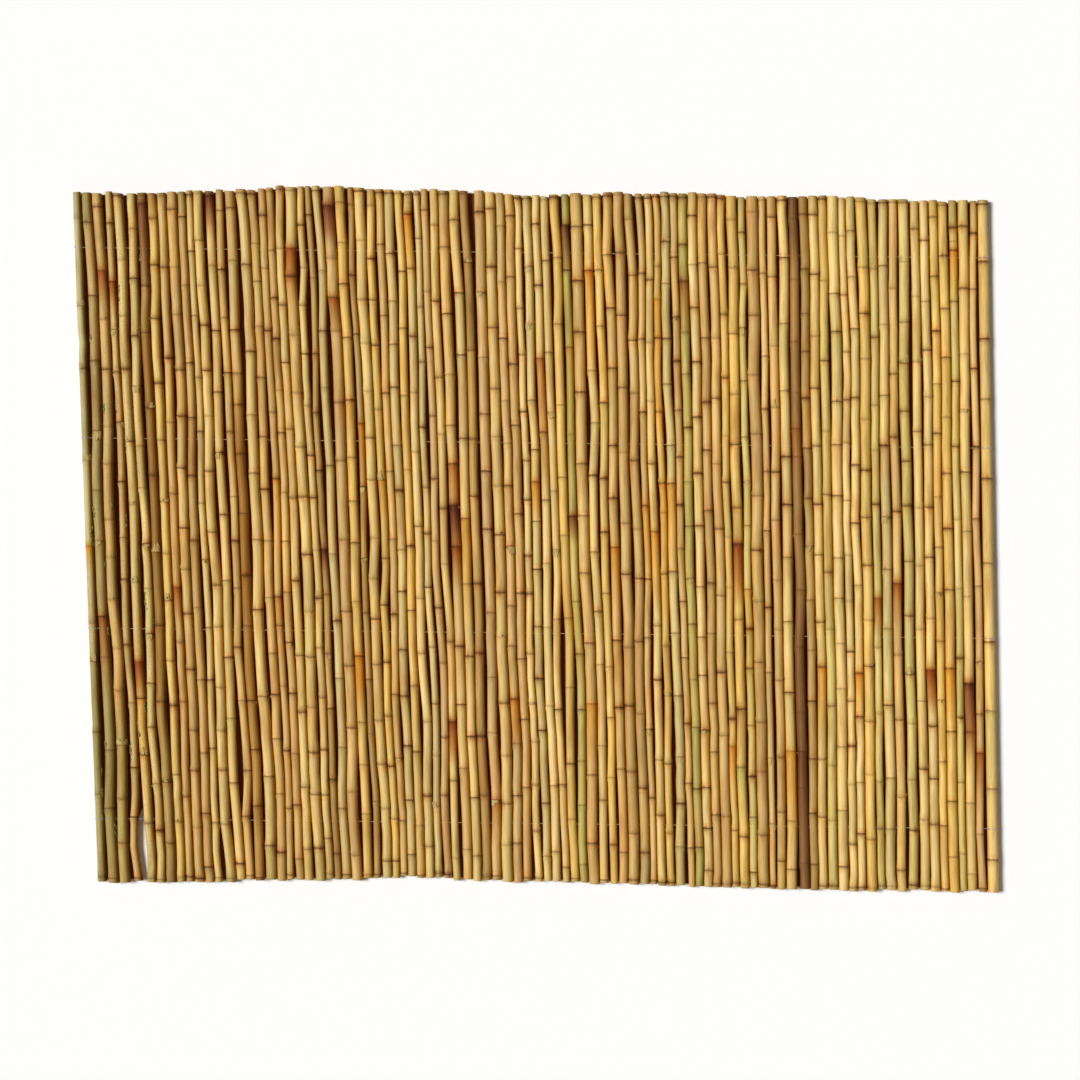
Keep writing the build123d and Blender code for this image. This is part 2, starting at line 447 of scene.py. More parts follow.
# Cane skin: bamboo dried in the sun, with its natural wax. Long pale fibres run along it, it shines
# softly in a line along each cane, and every ring is a thin dark scar with a paler band of wax beside it.
skinLook = {
    # Patterns: width round the cane, length along it, and the detail and the roughness of the noise
    "fibres": (1.3 * mm, 80 * mm, 3.0, 0.6),
    "patches": (16 * mm, 130 * mm, 3.0, 0.55),
    "drift": (45 * mm, 210 * mm, 2.0, 0.5),
    "flecks": (1.7 * mm, 4.25 * mm, 2.0, 0.7),
    "fibreDepth": 0.06 * mm,
    "ringLine": 1.9 * mm,  # half its width; a real scar is half as wide, and would be lost at this distance
    "smudgeReach": 11 * mm,  # how far the darker band round a ring reaches
    "waxBand": 5.5 * mm,
    "ringColour": "#4A2A0C",
    "waxLight": 1.25,  # the band of wax under a ring is this much lighter
    "patchColour": "#B98F55",
    "redColour": "#E4BC8C",
    "greyColour": "#D8D6C0",
    "smudgeColour": "#A88450",
    "flankColour": "#FADE5A",  # painted shade: the sides in the gaps are darker and yellower
    "dampColour": "#93803F",  # painted shade on the +X side of the left canes, and a little on the others
    "flushColour": "#C98F52",
    "fleckColour": "#4B3A1E",
    "roughness": (0.42, 0.6),
    # The canes at the left that are weathered through and carry the painted side shade, how many more it
    # takes to fade, and what stays
    "weathered": (6, 8, 0.12),
    "paleOutside": 0.6,  # how much less painted shade the screen's outer sides have than the sides in a gap
    "ringReach": 25 * mm,
}


def caneSkin():
    look = skinLook
    material, tree = newMaterial("sunDriedCaneSkin")
    marks = [addNode(tree, "Attribute", attribute_name=name) for name in ("caneTone", *pointMarks)]
    tone, space = marks[0].outputs["Color"], marks[1].outputs["Vector"]
    fromRing, ringStrength, weathered, inGap = (mark.outputs["Fac"] for mark in marks[2:])
    patterns = []
    for name in ("fibres", "patches", "drift", "flecks"):
        width, length, detail, roughness = look[name]
        place = addNode(tree, "Mapping", {"Vector": space, "Scale": (1 / width, 1 / width, 1 / length)})
        noise = {"Vector": place, "Scale": 1.0, "Detail": detail, "Roughness": roughness}
        patterns.append(addNode(tree, "TexNoise", noise))
    fibres, patches, drift, flecks = patterns

    fibreLight = addNode(tree, "MapRange", (fibres, 0.3, 0.7, 0.79, 1.17))
    colour = addNode(tree, "VectorMath", {0: tone, "Scale": fibreLight}, operation="SCALE")
    patchShare = addNode(tree, "MapRange", (patches, 0.5, 0.75, 0.0, 0.45))
    # Weather has greyed it in some long stretches and left it redder in others
    redShare = addNode(tree, "MapRange", (drift, 0.5, 0.72, 0.0, 0.5))
    greyShare = addNode(tree, "MapRange", (drift, 0.5, 0.28, 0.0, 0.45))
    # Painted shade: the sides that face the next cane are darker and yellower than the crest, more so
    # towards +X
    section = addNode(tree, "VectorMath", (space, (1, 1, 0)), **product)
    roundWay = addNode(tree, "VectorMath", (section,), operation="NORMALIZE")
    sideways, upwards = addNode(tree, "SeparateXYZ", (roundWay,)).outputs[:2]
    shaded = addNode(tree, "Math", (sideways, -0.2, upwards), operation="MULTIPLY_ADD")
    flank = addNode(tree, "MapRange", (shaded, 0.92, 0.25, 0.0, 1.0), **eased)
    gapShadeShare = addNode(tree, "Math", (flank, inGap), **product)
    # Painted shade on the +X side, strongest on the weathered left canes
    awaySideShade = addNode(tree, "MapRange", (sideways, 0.0, 0.8, 0.0, 0.62), **eased)
    sideShadeShare = addNode(tree, "Math", (awaySideShade, weathered), **product)
    fleckEdge = addNode(tree, "MapRange", (weathered, 0.0, 1.0, 0.76, 0.6))
    overEdge = addNode(tree, "Math", (flecks, fleckEdge), operation="SUBTRACT")
    fleckShare = addNode(tree, "MapRange", (overEdge, 0.0, 0.07, 0.0, 0.6))

    # The ring: how far along the cane from its scar, with a little unevenness round the cane
    unevenness = addNode(tree, "MapRange", (patches, 0.2, 0.8, -1.2 * mm, 1.2 * mm))
    ringPlace = addNode(tree, "Math", (fromRing, unevenness), operation="ADD")
    ringDistance = addNode(tree, "Math", (ringPlace,), operation="ABSOLUTE")
    waxPlace = addNode(tree, "Math", (ringPlace, look["waxBand"]), operation="ADD")
    waxDistance = addNode(tree, "Math", (waxPlace,), operation="ABSOLUTE")
    ringParts = []
    for distance, near, far, most in (
        (ringDistance, look["ringLine"] * 0.3, look["ringLine"] * 1.8, 0.82),
        (ringDistance, 2 * mm, 26 * mm, 0.85),
        (ringDistance, look["ringLine"], look["smudgeReach"], 1.0),
        (waxDistance, 1 * mm, look["waxBand"], look["waxLight"] - 1),
    ):
        fade = addNode(tree, "MapRange", (distance, near, far, most, 0.0), **eased)
        ringParts.append(addNode(tree, "Math", (fade, ringStrength), **product))
    line, flush, smudge, wax = ringParts
    flushShare = addNode(tree, "Math", (flush, patches), **product)
    ringDarkPatches = addNode(tree, "MapRange", (patches, 0.35, 0.65, 0.15, 0.85))
    ringDarkShare = addNode(tree, "Math", (smudge, ringDarkPatches), **product)
    waxLight = addNode(tree, "Math", (wax, 1.0), operation="ADD")

    layers = {
        "patch": patchShare, "red": redShare, "grey": greyShare, "flank": gapShadeShare,
        "damp": sideShadeShare, "fleck": fleckShare, "flush": flushShare, "smudge": ringDarkShare,
    }
    for name, share in layers.items():
        inputs = {0: share, 6: colour, 7: look[name + "Colour"]}
        colour = addNode(tree, "Mix", inputs, **(covering if name == "fleck" else tinting))
    waxed = addNode(tree, "VectorMath", {0: colour, "Scale": waxLight}, operation="SCALE")
    colour = addNode(tree, "Mix", {0: line, 6: waxed, 7: look["ringColour"]}, **covering)
    roughness = addNode(tree, "MapRange", (patches, 0.3, 0.7, *look["roughness"]))
    inputs = {"Base Color": colour, "Roughness": roughness, "IOR": 1.48, "Specular IOR Level": 0.14}
    endMaterial(tree, fibres, look["fibreDepth"], 0.6, inputs)
    return material


# Sawn end: cut across the fibres. The cut bundles show as dark dots in pale wood, closer together and
# darker towards the skin, and the saw leaves it matt.
sawnLook = {
    "bundleSize": 1.1 * mm,
    "dirtSize": 6.25 * mm,
    "sawDepth": 0.15 * mm,
    "paleWood": "#D8BF8B",
    "bundleColour": "#8B6434",
    "dirtColour": "#7A5A34",
}


def sawnEnd():
    look = sawnLook
    material, tree = newMaterial("sawnBambooEnd")
    space = addNode(tree, "Attribute", attribute_name="caneSpace").outputs["Vector"]
    bundles = addNode(tree, "TexVoronoi", {"Vector": space, "Scale": 1 / look["bundleSize"]})
    dotShare = addNode(tree, "MapRange", (bundles, 0.15, 0.5, 0.8, 0.0))
    dotted = addNode(tree, "Mix", {0: dotShare, 6: look["paleWood"], 7: look["bundleColour"]}, **covering)
    noise = {"Vector": space, "Scale": 1 / look["dirtSize"], "Detail": 3.0, "Roughness": 0.6}
    dirt = addNode(tree, "TexNoise", noise)
    dirtShare = addNode(tree, "MapRange", (dirt, 0.4, 0.7, 0.0, 0.6))
    dirty = addNode(tree, "Mix", {0: dirtShare, 6: dotted, 7: look["dirtColour"]}, **covering)
    endMaterial(tree, bundles, look["sawDepth"], 0.5, {"Base Color": dirty, "Roughness": 0.85})
    return material


# Inside of the hollow: the cane's papery inner skin, pale and dull, dusty in patches
hollowLook = {
    "paperColour": "#C9B183",
    "dustColour": "#7F6440",
    "dustSize": 9 * mm,
    "paperDepth": 0.2 * mm,
}


def hollowInside():
    look = hollowLook
    material, tree = newMaterial("paperyHollowWall")
    space = addNode(tree, "Attribute", attribute_name="caneSpace").outputs["Vector"]
    noise = {"Vector": space, "Scale": 1 / look["dustSize"], "Detail": 4.0, "Roughness": 0.6}
    dust = addNode(tree, "TexNoise", noise)
    colour = addNode(tree, "Mix", {0: dust, 6: look["paperColour"], 7: look["dustColour"]}, **covering)
    endMaterial(tree, dust, look["paperDepth"], 0.4, {"Base Color": colour, "Roughness": 0.92})
    return material


# Galvanised wire: drawn steel dipped in zinc. Grey and half bright, with dull patches where it has aged
wireLook = {
    "zincColour": "#B4B4B0",
    "dullColour": "#77736B",
    "spangleSize": 1.6 * mm,
    "zincDepth": 0.05 * mm,
    "roughness": (0.32, 0.55),
}


def galvanisedWire():
    look = wireLook
    material, tree = newMaterial("dippedZincWire")
    space = addNode(tree, "TexCoord").outputs["Object"]
    spangle = addNode(tree, "TexVoronoi", {"Vector": space, "Scale": 1 / look["spangleSize"]})
    noise = {"Vector": space, "Scale": 1 / (3 * look["spangleSize"]), "Detail": 3.0}
    age = addNode(tree, "TexNoise", noise)
    patches = addNode(tree, "Math", (spangle, age), **product)
    colour = addNode(tree, "Mix", {0: age, 6: look["zincColour"], 7: look["dullColour"]}, **covering)
    roughness = addNode(tree, "MapRange", (patches, 0.0, 0.5, *look["roughness"]))
    inputs = {"Base Color": colour, "Metallic": 1.0, "Roughness": roughness}
    endMaterial(tree, age, look["zincDepth"], 0.3, inputs)
    return material


skin = caneSkin()
sawn = sawnEnd()
inside = hollowInside()
zinc = galvanisedWire()
print("made the bamboo and wire materials")


# The canes' shape

# A ring in section, along the way the cane grew: the flare under the old leaf sheath, its sharp scar,
# the groove behind it and the low ridge above. Places and swellings in millimetres
ringProfile = [
    (-26, 0.0), (-12, 0.12), (-5, 0.42), (-1.6, 0.78), (0, 1.0), (0.9, 0.35),
    (2.4, 0.12), (5, 0.45), (8, 0.72), (12, 0.45), (20, 0.14), (32, 0.0),
]
caneShape = {
    "segments": 24,
    "rowSpacing": 50 * mm,
    "leastRowSpacing": 0.3 * mm,
    "budBump": 1.1 * mm,
    "budPlace": 7 * mm,
    "budLength": 4 * mm,
    "budWidth": 0.3,  # radians round the cane
    "groove": 0.9 * mm,  # the flute that a branch leaves in the stretch above it
    "grooveWidth": 0.42,
    "grooveLength": 90 * mm,
    "wall": 3.6 * mm,
    "wallUnevenness": 0.12,
    "chamfer": 0.5 * mm,
    "cutTilt": 0.06,
    "nearEnds": (4, 10, 22, 40),  # more rows near each end, in millimetres
    "patternSpacing": 3.1,  # metres between the canes in their patterns, so that no two look alike
}
segments = caneShape["segments"]
roundAngles = np.arange(segments) * fullTurn / segments
profilePlaces = [place * mm for place, swell in ringProfile]
profileSwells = [swell * mm for place, swell in ringProfile]


# From the middle of a sawn end outwards: depth from the cut, radii round the cane and material, which
# is 1 where it is sawn and 2 inside the hollow
def endRows(depth, outer, bore):
    if depth:
        inwards = ((depth, 0.0), (depth - 0.6 * mm, 0.55), (depth - 2.0 * mm, 0.93))
        inwards += ((depth - 5.0 * mm, 1.0), (depth / 2, 1.0), (1.2 * mm, 1.0))
        rows = [(place, bore * share, 2) for place, share in inwards]
        rows += [(0.0, bore + 0.3 * mm, 2), (0.0, (bore + outer) / 2, 1)]
    else:
        dished = ((0.8 * mm, 0.0), (0.5 * mm, 0.1), (0.0, 0.3), (0.0, 0.7))
        rows = [(place, outer * share, 1) for place, share in dished]
    return rows + [(0.0, outer, 1)]


def skinRows(cane):
    foot, top = cane["y"][0], cane["y"][-1]
    rows = {foot + caneShape["chamfer"], top - caneShape["chamfer"]}
    for step in caneShape["nearEnds"]:
        rows |= {foot + step * mm, top - step * mm}
    for ring in cane["rings"]:
        for place in profilePlaces:
            along = ring + cane["upwards"] * place
            if foot + 5 * mm < along < top - 5 * mm:
                rows.add(along)
    rows = sorted(rows)
    filled = [rows[0]]
    for along in rows[1:]:
        start = filled[-1]
        if along - start >= caneShape["leastRowSpacing"]:
            count = math.ceil((along - start) / caneShape["rowSpacing"])
            filled += [start + (along - start) * step / count for step in range(1, count + 1)]
    return np.array(filled)


def caneSurface(cane):
    chance = cane["chance"]
    shape = caneShape
    along = skinRows(cane)
    rings = np.array(cane["rings"])
    upwards = cane["upwards"]
    nearest = np.argmin(np.abs(along[:, None] - rings[None, :]), axis=1)
    fromRing = (along - rings[nearest]) * upwards
    swell = np.interp(fromRing, profilePlaces, profileSwells) * np.array(cane["swells"])[nearest]

    # Branches stood left and right of the cane in turn: a bud on the ridge and a flute above it
    firstBranch = chance.uniform(0, fullTurn)
    cane["firstBranch"] = firstBranch
    branchAngles = firstBranch + math.pi * np.arange(len(rings))
    below = np.clip(np.searchsorted(rings, along) - (1 if upwards > 0 else 0), 0, len(rings) - 1)
    fromBelow = (along - rings[below]) * upwards
    turnFromBranch = np.angle(np.exp(1j * (roundAngles[None, :] - branchAngles[below][:, None])))
    fluteEnds = 1 - smooth((fromBelow - 20 * mm) / shape["grooveLength"])
    flute = shape["groove"] * smooth((fromBelow - 8 * mm) / (14 * mm)) * fluteEnds
    budRise = shape["budBump"] * np.exp(-((fromBelow - shape["budPlace"]) / shape["budLength"]) ** 2)
    oval = 1 + growth["ovalness"] * np.cos(2 * (roundAngles[None, :] - chance.uniform(0, math.pi)))
    radii = (caneLine(cane, along)[2] + swell)[:, None] * oval
    radii -= flute[:, None] * np.exp(-((turnFromBranch / shape["grooveWidth"]) ** 2))
    radii += budRise[:, None] * np.exp(-((turnFromBranch / shape["budWidth"]) ** 2))
    cutTilts = [(chance.uniform(-1, 1), chance.uniform(-1, 1)) for end in range(2)]

    # Each row: its place along the cane, radii, tilt, the material of the band that ends there, and the
    # skin row whose marks it has
    ends = []
    for end, edge, outwards in ((0, 0, -1), (1, -1, 1)):
        cut = along[edge] + outwards * shape["chamfer"]
        outer = radii[edge] - shape["chamfer"]
        bore = outer - shape["wall"] * (1 + shape["wallUnevenness"] * np.cos(roundAngles - firstBranch))
        ends.append([
            (cut - outwards * depth, rowRadii, cutTilts[end] if depth < 2 * mm else (0, 0), tag)
            for depth, rowRadii, tag in endRows(cane["hollow"][end], outer, bore)
        ])
    last = len(along) - 1
    edgeTilts = {0: cutTilts[0], last: cutTilts[1]}
    rows = [(*row, 0) for row in ends[0]]
    rows += [(y, radii[row], edgeTilts.get(row, (0, 0)), 0, row) for row, y in enumerate(along)]
    # From the rim inwards, a band has the material of the row before it, and the rim's flat is still skin
    topRows = ends[1][::-1]
    for (y, rowRadii, tilt, own), before in zip(topRows, [1] + [row[3] for row in topRows]):
        rows.append((y, rowRadii, tilt, 0 if before == 1 and y == topRows[0][0] else before, last))

    across, height = caneLine(cane, np.array([row[0] for row in rows]))[:2]
    points = []
    spaces = []
    for x, z, (y, rowRadii, tilt, tag, skinRow) in zip(across, height, rows):
        aside = rowRadii * np.cos(roundAngles)
        up = rowRadii * np.sin(roundAngles)
        rowY = y + shape["cutTilt"] * (tilt[0] * aside + tilt[1] * up)
        points.append(np.stack([x + aside, rowY, z + up], axis=1))
        spaces.append(np.stack([aside, up, rowY + cane["number"] * shape["patternSpacing"]], axis=1))
    return {
        "points": np.concatenate(points),
        "spaces": np.concatenate(spaces),
        "tags": [row[3] for row in rows],
        "skinRows": [row[4] for row in rows],
        "along": along,
        "nearest": nearest,
        "fromRing": fromRing,
        "fromBelow": fromBelow,
    }


toneChange = {
    "otherTone": (0.0, 0.5),  # how far a stretch between two rings leans towards another tone
    "lightness": (0.84, 1.08),
    "atOnce": 0.45,  # the share that changes at the ring itself
    "youngLength": 60 * mm,  # greener and darker this far above the ring that it grew from
    "young": (0.10, 0.05, 0.12, 0.0),
    "longStain": 600 * mm,  # stains longer than this come in slowly too
    "soakedFoot": 0.35,  # the ends are darker, more at the top
    "soakedTop": 0.7,
    "soakedLength": 18 * mm,
    "soaked": (0.6, 0.68, 0.75, 0.0),
}


def toneOfPoints(cane, surface):
    chance = cane["chance"]
    change = toneChange
    base = np.array(linearColour(caneTones[cane["tone"]]))
    stretches = []
    for stretch in range(len(cane["rings"]) + 1):
        other = np.array(linearColour(caneTones[chance.choice(cane["mix"])]))
        share = chance.uniform(*change["otherTone"])
        lightness = chance.uniform(*change["lightness"])
        stretches.append((base * (1 - share) + other * share) * lightness)
    stretches = np.array(stretches)
    along = surface["along"]
    stepped = stretches[np.searchsorted(cane["rings"], along)]
    borders = [cane["y"][0], *cane["rings"], cane["y"][-1]]
    middles = [(low + high) / 2 for low, high in zip(borders, borders[1:])]
    blended = np.stack([np.interp(along, middles, stretches[:, channel]) for channel in range(4)], axis=1)
    tones = stepped * change["atOnce"] + blended * (1 - change["atOnce"])
    young = np.exp(-np.clip(surface["fromBelow"], 0, None) / change["youngLength"])
    tones = tones * (1 - young[:, None] * np.array(change["young"]))
    tones = np.repeat(tones[:, None, :], segments, axis=1)
    for stainPlace, fade, tone, strength in cane["stains"]:
        start = min(cane["rings"], key=lambda ring: abs(ring - stainPlace))
        share = (start - along) / fade
        distance = np.abs(along - start)
        weight = np.where(share >= 0, np.clip(1 - share, 0, 1) ** 0.8, 0.5 * np.exp(-distance / (14 * mm)))
        if abs(fade) > change["longStain"]:
            weight *= smooth(distance / (180 * mm)) * (share >= 0)
        else:
            weight *= 1 + 0.3 * np.exp(-distance / (18 * mm))
        side = chance.uniform(0.2, 0.8) * math.pi
        weight = weight[:, None] * (0.82 + 0.18 * np.cos(roundAngles[None, :] - side))
        weight = np.clip(weight * 1.1 * strength, 0, 1)[:, :, None]
        # A stain soaks in, so it takes light away and keeps the tone under it
        tones = tones ** (1 - weight) * np.array(linearColour(caneTones[tone])) ** weight
    for fromEnd, most in (
        (along - cane["y"][0], change["soakedFoot"]), (cane["y"][-1] - along, change["soakedTop"])
    ):
        soaked = chance.uniform(0, most) * np.exp(-fromEnd / change["soakedLength"])
        tones = tones * (1 - soaked[:, None, None] * np.array(change["soaked"]))
    return np.clip(tones, 0, 1)


def makeCanes(nodeName, members):
    faces = []
    faceMaterials = []
    marks = {name: [] for name in ("point", "caneTone", *pointMarks)}
    wholly, fading, least = skinLook["weathered"]
    for cane in members:
        surface = caneSurface(cane)
        tags = surface["tags"]
        tones = toneOfPoints(cane, surface)[surface["skinRows"]]
        fromRing = surface["fromRing"]
        strengths = np.array(cane["ringStrengths"])[surface["nearest"]]
        strengths = np.where(np.abs(fromRing) < skinLook["ringReach"], strengths, 0)[surface["skinRows"]]
        reach = 2 * skinLook["ringReach"]
        fromRing = np.clip(fromRing, -reach, reach)[surface["skinRows"]]
        weathered = max(least, 1 - max(0, cane["number"] - wholly) / fading)
        # The sides in the gaps get the painted shade, and the outer sides of the outermost canes get less
        # of it
        inGap = np.ones(segments)
        if cane["outermost"]:
            outwards = -1 if cane["number"] == 1 else 1
            inGap -= skinLook["paleOutside"] * smooth(outwards * np.cos(roundAngles) * 2)
        made = (
            surface["points"],
            tones.reshape(-1, 4),
            surface["spaces"],
            np.repeat(fromRing, segments),
            np.repeat(strengths, segments),
            np.full(len(tags) * segments, weathered),
            np.tile(inGap, len(tags)),
        )
        # The first and last rows are tiny, and close the surface
        start = sum(len(points) for points in marks["point"])
        faces += tubeFaces(start, len(tags), segments, turned=True)
        for tag in tags[1:]:
            faceMaterials += [tag] * segments
        faceMaterials += [tags[0], tags[-1]]
        for name, values in zip(marks, made):
            marks[name].append(values)
    points = np.concatenate(marks.pop("point")).tolist()
    piece = meshPiece("bamboo_" + nodeName, points, faces, [skin, sawn, inside], faceMaterials)
    kinds = {"caneTone": ("FLOAT_COLOR", "color"), "caneSpace": ("FLOAT_VECTOR", "vector")}
    for name, values in marks.items():
        kind, field = kinds.get(name, ("FLOAT", "value"))
        mark = piece.data.attributes.new(name, kind, "POINT")
        mark.data.foreach_set(field, np.concatenate(values).ravel())
    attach(piece, "root")
    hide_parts(nodeName)


for nodeName in sorted(cadNodes):
    members = [cane for cane in canes if cane["node"] == nodeName]
    if members:
        makeCanes(nodeName, members)
print("made the canes")


# Moss, sheath scraps and branch stubs

# Dry moss holds on in the gaps of the left edge, which stood in the shade: small dull brown-green clumps
mossLook = {
    "seed": 23,
    "lastCane": 7,
    "clusters": 30,
    "perCluster": (5, 12),
    "spread": 9 * mm,
    "reach": (-860 * mm, 820 * mm),
    "size": (0.8 * mm, 2.9 * mm),
    "lumpiness": (0.6, 1.45),
    "stretch": Vector((1.0, 1.9, 0.8)),
    "angle": (0.15, 0.95),  # radians up the side of the cane
    "colours": ("#40350F", "#A3924E"),
    "grain": 2.2 * mm,
}

# Papery scraps of the old leaf sheaths still cling to some rings: thin, dry, torn at the free end
scrapLook = {
    "seed": 31,
    "count": 64,
    "onLeftCanes": 28,  # how many of them are on the first eight canes
    "length": (7 * mm, 30 * mm),
    "width": (0.5, 2.0),  # radians round the cane
    "thickness": 0.35 * mm,
    "lift": 1.6 * mm,
    "columns": 9,
    "rows": 6,
    "colours": ("#D2B974", "#8C6C34"),
    "grain": 1.2 * mm,
}

# Stubs of the side branches that were cut off, woody and darker than the skin
stubLook = {
    "seed": 37,
    "share": 0.1,  # of the rings
    "shareOnLeftCanes": 0.35,
    "length": (2.5 * mm, 7 * mm),
    "radius": (1.3 * mm, 2.4 * mm),
    "sunk": 1 * mm,  # how far its foot is in the cane
    "lean": 0.9,  # towards the cane's tip
    "leastRise": 0.1,
    "sides": 9,
    "colours": ("#C09A5C", "#6B4A22"),
    "grain": 1.5 * mm,
}


def dryMatter(name, look, along=1.0):
    # Along is how far its grain is drawn out along the canes
    material, tree = newMaterial(name)
    space = addNode(tree, "TexCoord").outputs["Object"]
    scale = (1 / look["grain"], 1 / look["grain"] / along, 1 / look["grain"])
    grainSpace = addNode(tree, "Mapping", {"Vector": space, "Scale": scale})
    noise = {"Vector": grainSpace, "Scale": 1.0, "Detail": 3.0, "Roughness": 0.65}
    grain = addNode(tree, "TexNoise", noise)
    share = addNode(tree, "MapRange", (grain, 0.38, 0.65, 0.0, 1.0))
    first, second = look["colours"]
    colour = addNode(tree, "Mix", {0: share, 6: first, 7: second}, **covering)
    inputs = {"Base Color": colour, "Roughness": 0.9, "Specular IOR Level": 0.15}
    endMaterial(tree, grain, look["grain"] / 5, 0.6, inputs)
    return material


def makeMoss():
    look = mossLook
    chance = random.Random(look["seed"])
    clumps = bmesh.new()
    for cluster in range(look["clusters"]):
        cane = canes[chance.randrange(look["lastCane"])]
        middle = chance.uniform(*look["reach"])
        side = 1 if cane["number"] == 1 else chance.choice((-1, 1))
        for tuft in range(chance.randint(*look["perCluster"])):
            along = middle + chance.gauss(0, 1) * look["spread"]
            x, z, radius = caneLine(cane, along)
            angle = chance.uniform(*look["angle"])
            size = chance.uniform(*look["size"])
            made = bmesh.ops.create_icosphere(clumps, subdivisions=2, radius=size)["verts"]
            place = Vector((x + side * radius * math.cos(angle), along, z + radius * math.sin(angle)))
            for corner in made:
                corner.co = place + corner.co * look["stretch"] * chance.uniform(*look["lumpiness"])
    clumps.verts.index_update()
    points = [corner.co.copy() for corner in clumps.verts]
    faces = [[corner.index for corner in face.verts] for face in clumps.faces]
    clumps.free()
    piece = meshPiece("moss_tufts", points, faces, [dryMatter("dryClumpedMoss", look)])
    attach(piece, "root")


def scrapGrids(cane, ring, chance):
    # Two grids of points, the outer face and the inner one, from the ring to the torn free end
    look = scrapLook
    middle = chance.uniform(0.22, 0.78) * math.pi
    width = chance.uniform(*look["width"])
    length = chance.uniform(*look["length"])
    lift = look["lift"] * chance.uniform(0.2, 1.0)
    torn = [length * chance.uniform(0.35, 1.0) for column in range(look["columns"])]
    torn = [
        (2 * own + before + after) / 4
        for own, before, after in zip(torn, torn[1:] + torn[:1], torn[-1:] + torn)
    ]
    ringSwell = cane["swells"][cane["rings"].index(ring)]
    swells = [ringSwell * swell for swell in profileSwells]
    grids = []
    for height in (look["thickness"], 0.0):
        grid = []
        for row in range(look["rows"]):
            share = row / (look["rows"] - 1)
            for column in range(look["columns"]):
                fromRing = torn[column] * share
                along = ring + cane["upwards"] * fromRing
                x, z, radius = caneLine(cane, along)
                reach = radius * (1 + growth["ovalness"])
                reach += np.interp(fromRing, profilePlaces, swells) + height + lift * share ** 2
                angle = middle + width * (column / (look["columns"] - 1) - 0.5) * (1 - 0.3 * share)
                grid.append((x + reach * math.cos(angle), along, z + reach * math.sin(angle)))
        grids.append(grid)
    return grids


def makeScraps():
    look = scrapLook
    chance = random.Random(look["seed"])
    rows, columns = look["rows"], look["columns"]
    grid = np.arange(rows * columns).reshape(rows, columns)
    border = np.concatenate([grid[0], grid[1:, -1], grid[-1, -2::-1], grid[-2:0:-1, 0]]).tolist()
    points = []
    faces = []
    for scrap in range(look["count"]):
        cane = chance.choice(canes[:8] if scrap < look["onLeftCanes"] else canes[8:-1])
        outer, inner = scrapGrids(cane, chance.choice(cane["rings"][1:-1]), chance)
        if cane["upwards"] < 0:
            outer, inner = inner, outer
        front = len(points)
        back = front + rows * columns
        points += outer + inner
        for row in range(rows - 1):
            for column in range(columns - 1):
                corner = row * columns + column
                quad = (corner, corner + 1, corner + columns + 1, corner + columns)
                faces.append(tuple(front + place for place in reversed(quad)))
                faces.append(tuple(back + place for place in quad))
        for place, beside in zip(border, border[1:] + border[:1]):
            faces.append((front + place, front + beside, back + beside, back + place))
    piece = meshPiece("sheath_scraps", points, faces, [dryMatter("tornPaperySheath", look, 12.0)])
    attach(piece, "root")


def makeStubs():
    look = stubLook
    chance = random.Random(look["seed"])
    sides = look["sides"]
    profile = [(0, 1.25), (0.35, 1.0), (0.93, 0.85), (1.0, 0.7), (0.97, 0.25)]
    points = []
    faces = []
    for cane in canes[1:-1]:
        share = look["shareOnLeftCanes"] if cane["number"] <= 8 else look["share"]
        for index, ring in enumerate(cane["rings"]):
            angle = cane["firstBranch"] + math.pi * index
            atEnd = index in (0, len(cane["rings"]) - 1)
            if chance.random() > share or atEnd or math.sin(angle) < look["leastRise"]:
                continue
            x, z, radius = caneLine(cane, ring)
            outwards = Vector((math.cos(angle), 0, math.sin(angle)))
            forward = (outwards + Vector((0, look["lean"] * cane["upwards"], 0))).normalized()
            start = Vector((x, ring + cane["upwards"] * caneShape["budPlace"] / 2, z))
            start += outwards * (radius - look["sunk"])
            length = chance.uniform(*look["length"]) + look["sunk"]
            thick = chance.uniform(*look["radius"])
            sideways = forward.orthogonal().normalized()
            around = spokes(sideways, forward.cross(sideways), sides)
            faces += tubeFaces(len(points), len(profile), sides)
            for place, width in profile:
                points += [start + forward * length * place + spoke * thick * width for spoke in around]
    piece = meshPiece("branch_stubs", points, faces, [dryMatter("cutWoodyStub", look, 3.0)])
    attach(piece, "root")


makeMoss()
makeScraps()
makeStubs()
print("made the moss, the sheath scraps and the branch stubs")


# The wires

wireShape = {
    "radius": 1.0 * mm,
    "sides": 12,
    "clearance": 0.3 * mm,
    "bend": ((2.2 * mm, 0.0), (0.8 * mm, 0.35 * mm)),  # in from the outside of the turn, and up
    "turnStart": 8.0,  # degrees above the straight run, on the near side of the cane
    "turnEnd": 28.0,  # and on its far side
    "turnSteps": 18,
}


def wireRoute(row):
    shape = wireShape
    for cane, side in ((canes[0], -1), (canes[-1], 1)):
        x, z, radius = caneLine(cane, row)
        reach = radius + cane["narrower"] + shape["clearance"] + shape["radius"]
        turn = [Vector((x + side * (reach - inset), row, wireHeight + up)) for inset, up in shape["bend"]]
        for step in range(shape["turnSteps"] + 1):
            share = step / shape["turnSteps"]
            angle = shape["turnStart"] + (180 - shape["turnEnd"] - shape["turnStart"]) * share
            angle = math.radians(angle)
            turn.append(Vector((x + side * reach * math.cos(angle), row, z + reach * math.sin(angle))))
        route = turn[::-1] if side < 0 else route + turn
    return route


for name, row in zip(wireNames, wireRows):
    route = wireRoute(row)
    sideways = Vector((0, 1, 0))
    points = []
    for before, place, after in zip(route[:1] + route, route, route[1:] + route[-1:]):
        upright = (after - before).normalized().cross(sideways).normalized()
        around = spokes(sideways, upright, wireShape["sides"])
        points += [place + wireShape["radius"] * spoke for spoke in around]
    piece = meshPiece("galvanised_" + name, points, tubeFaces(0, len(route), wireShape["sides"]), [zinc])
    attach(piece, "root")
    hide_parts(name)
print("made the wires")


# Floor, light and camera

